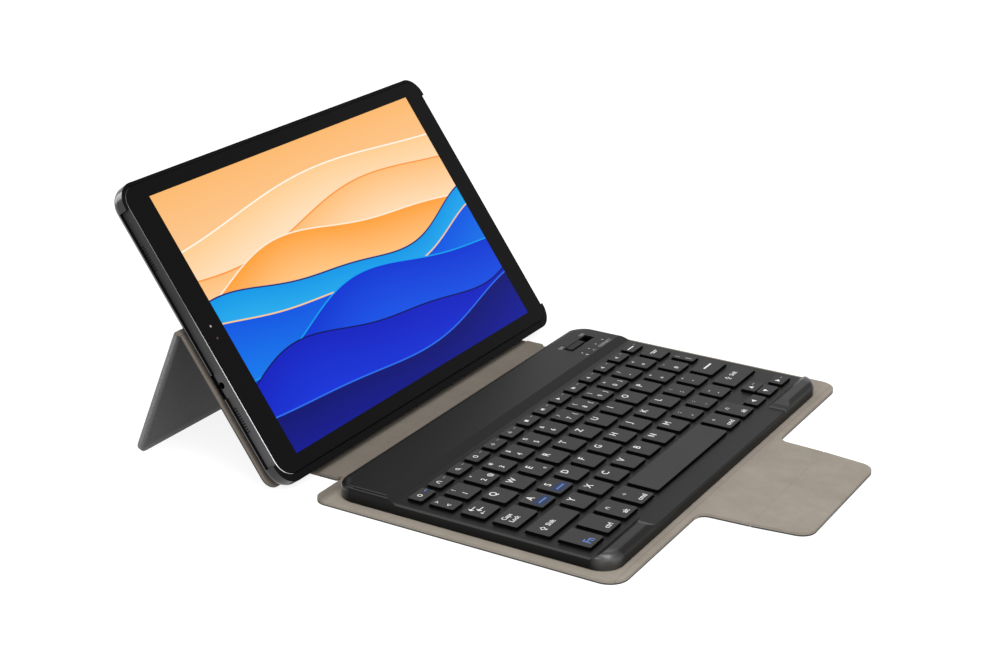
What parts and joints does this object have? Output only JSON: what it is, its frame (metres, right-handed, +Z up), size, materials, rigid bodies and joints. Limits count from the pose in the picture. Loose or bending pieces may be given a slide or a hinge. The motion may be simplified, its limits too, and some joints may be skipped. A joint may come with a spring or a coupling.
{
  "type": "tablet keyboard case",
  "caption": "Folding tablet case with a moulded tablet holder, kick stand panel, closing flap and a thin wireless keyboard, shown standing open with a tablet in it.",
  "frame": {"origin": "on the underside of the front panel, on the table, at the middle of the panel's depth and on the keyboard's middle line", "axes": "+X to the typist's right, +Y away from the typist, +Z up"},
  "size_m": [0.2667, 0.3284, 0.1372],
  "materials": {
    "skin": "fine grained dark grey leather-look skin",
    "lining": "light grey-beige brushed microfibre",
    "board": "plain stiffener board",
    "glue": "dry glue sheet",
    "holder": "dark semi-gloss moulded plastic",
    "housing": "dark grey anodised",
    "glass": "black bordered cover glass",
    "display": "lit display panel",
    "case": "charcoal, fine matt texture",
    "key": "charcoal, fine matt texture, white legends",
    "plate": "plain steel sheet",
    "membrane": "black silicone",
    "circuit": "green solder mask",
    "battery": "foil pouch",
    "switch": "black",
    "light": "clear light pipes",
    "port": "drawn steel shell",
    "magnet": "nickel plated",
    "screw": "blackened"
  },
  "bodies": {
    "front_panel": {"front_skin": "skin", "front_board": "board", "front_lining": "lining", "panel_magnets": "magnet"},
    "spine": {"spine_skin": "skin", "spine_board": "board", "spine_lining": "lining", "front_fold_band": "lining"},
    "holder": {"rear_skin": "skin", "rear_board": "board", "rear_lining": "lining", "rear_glue": "glue", "holder_shell": "holder", "back_fold_band": "lining"},
    "kick_panel": {"kick_skin": "skin", "kick_board": "board", "kick_lining": "lining", "kick_magnets": "magnet", "kick_fold_band": "lining"},
    "flap_strip": {"strip_skin": "skin", "strip_lining": "lining", "flap_root_band": "lining"},
    "flap_tab": {"tab_skin": "skin", "tab_lining": "lining", "tab_magnets": "magnet", "flap_tip_band": "lining"},
    "tablet": {"tablet_housing": "housing", "tablet_glass": "glass", "tablet_display": "display"},
    "keyboard": {"keyboard_top_case": "case", "keyboard_cover": "case", "key_plate": "plate", "key_membrane": "membrane", "circuit_board": "circuit", "battery_cell": "battery", "slide_switch": "switch", "indicator_lights": "light", "charge_port": "port", "keyboard_magnets": "magnet", "cover_screws": "screw"},
    "power_switch": {"switch_knob": "switch"},
    "body_key_backspace": {"key_backspace": "key"},
    "body_key_tab": {"key_tab": "key"},
    "body_key_caps": {"key_caps": "key"},
    "body_key_enter": {"key_enter": "key"},
    "body_key_left_shift": {"key_left_shift": "key"},
    "body_key_right_shift": {"key_right_shift": "key"},
    "body_key_fn": {"key_fn": "key"},
    "body_key_space": {"key_space": "key"},
    "body_key_left_arrow": {"key_left_arrow": "key"},
    "body_key_up_arrow": {"key_up_arrow": "key"},
    "body_key_down_arrow": {"key_down_arrow": "key"},
    "body_key_right_arrow": {"key_right_arrow": "key"},
    "body_keys_function_row": {"keys_function_row": "key"},
    "body_keys_number_row": {"keys_number_row": "key"},
    "body_keys_upper_row": {"keys_upper_row": "key"},
    "body_keys_home_row": {"keys_home_row": "key"},
    "body_keys_lower_row": {"keys_lower_row": "key"},
    "body_keys_bottom_row": {"keys_bottom_row": "key"}
  },
  "joints": [
    {"name": "cover_fold", "type": "hinge", "parent": "front_panel", "child": "spine", "pos_m": [0, 0.082, 0.002], "axis": [-1, 0, 0], "range_deg": [-90, 0], "deforming": ["front_fold_band"]},
    {"name": "back_fold", "type": "hinge", "parent": "spine", "child": "holder", "pos_m": [0, 0.0955, 0.001], "axis": [-1, 0, 0], "range_deg": [-35.8, 0], "deforming": ["back_fold_band"]},
    {"name": "foot_fold", "type": "hinge", "parent": "holder", "child": "kick_panel", "pos_m": [0, 0.15474, 0.06858], "axis": [-1, 0, 0], "range_deg": [-121.7, 50], "deforming": ["kick_fold_band"]},
    {"name": "flap_fold", "type": "hinge", "parent": "front_panel", "child": "flap_strip", "pos_m": [0, -0.0815, 0.002], "axis": [1, 0, 0], "range_deg": [-74, 0], "deforming": ["flap_root_band"]},
    {"name": "flap_tab_fold", "type": "hinge", "parent": "flap_strip", "child": "flap_tab", "pos_m": [0, -0.106, 0.002], "axis": [1, 0, 0], "range_deg": [-106, 0], "deforming": ["flap_tip_band"]},
    {"name": "board_lift", "type": "slide", "parent": "front_panel", "child": "keyboard", "axis": [0, 0, 1], "range_m": [0, 0.025]},
    {"name": "device_lift", "type": "slide", "parent": "holder", "child": "tablet", "axis": [0, -0.8111, 0.585], "range_m": [0, 0.015]},
    {"name": "power_slide", "type": "slide", "parent": "keyboard", "child": "power_switch", "axis": [1, 0, 0], "range_m": [0, 0.0089]},
    {"name": "press_backspace", "type": "slide", "parent": "keyboard", "child": "body_key_backspace", "axis": [0, 0, -1], "range_m": [0, 0.0015], "stiffness_N_per_m": 300},
    {"name": "press_tab", "type": "slide", "parent": "keyboard", "child": "body_key_tab", "axis": [0, 0, -1], "range_m": [0, 0.0015], "stiffness_N_per_m": 300},
    {"name": "press_caps", "type": "slide", "parent": "keyboard", "child": "body_key_caps", "axis": [0, 0, -1], "range_m": [0, 0.0015], "stiffness_N_per_m": 300},
    {"name": "press_enter", "type": "slide", "parent": "keyboard", "child": "body_key_enter", "axis": [0, 0, -1], "range_m": [0, 0.0015], "stiffness_N_per_m": 300},
    {"name": "press_left_shift", "type": "slide", "parent": "keyboard", "child": "body_key_left_shift", "axis": [0, 0, -1], "range_m": [0, 0.0015], "stiffness_N_per_m": 300},
    {"name": "press_right_shift", "type": "slide", "parent": "keyboard", "child": "body_key_right_shift", "axis": [0, 0, -1], "range_m": [0, 0.0015], "stiffness_N_per_m": 300},
    {"name": "press_fn", "type": "slide", "parent": "keyboard", "child": "body_key_fn", "axis": [0, 0, -1], "range_m": [0, 0.0015], "stiffness_N_per_m": 300},
    {"name": "press_space", "type": "slide", "parent": "keyboard", "child": "body_key_space", "axis": [0, 0, -1], "range_m": [0, 0.0015], "stiffness_N_per_m": 300},
    {"name": "press_left_arrow", "type": "slide", "parent": "keyboard", "child": "body_key_left_arrow", "axis": [0, 0, -1], "range_m": [0, 0.0015], "stiffness_N_per_m": 300},
    {"name": "press_up_arrow", "type": "slide", "parent": "keyboard", "child": "body_key_up_arrow", "axis": [0, 0, -1], "range_m": [0, 0.0015], "stiffness_N_per_m": 300},
    {"name": "press_down_arrow", "type": "slide", "parent": "keyboard", "child": "body_key_down_arrow", "axis": [0, 0, -1], "range_m": [0, 0.0015], "stiffness_N_per_m": 300},
    {"name": "press_right_arrow", "type": "slide", "parent": "keyboard", "child": "body_key_right_arrow", "axis": [0, 0, -1], "range_m": [0, 0.0015], "stiffness_N_per_m": 300},
    {"name": "press_function_row", "type": "slide", "parent": "keyboard", "child": "body_keys_function_row", "axis": [0, 0, -1], "range_m": [0, 0.0015], "stiffness_N_per_m": 300},
    {"name": "press_number_row", "type": "slide", "parent": "keyboard", "child": "body_keys_number_row", "axis": [0, 0, -1], "range_m": [0, 0.0015], "stiffness_N_per_m": 300},
    {"name": "press_upper_row", "type": "slide", "parent": "keyboard", "child": "body_keys_upper_row", "axis": [0, 0, -1], "range_m": [0, 0.0015], "stiffness_N_per_m": 300},
    {"name": "press_home_row", "type": "slide", "parent": "keyboard", "child": "body_keys_home_row", "axis": [0, 0, -1], "range_m": [0, 0.0015], "stiffness_N_per_m": 300},
    {"name": "press_lower_row", "type": "slide", "parent": "keyboard", "child": "body_keys_lower_row", "axis": [0, 0, -1], "range_m": [0, 0.0015], "stiffness_N_per_m": 300},
    {"name": "press_bottom_row", "type": "slide", "parent": "keyboard", "child": "body_keys_bottom_row", "axis": [0, 0, -1], "range_m": [0, 0.0015], "stiffness_N_per_m": 300}
  ]
}
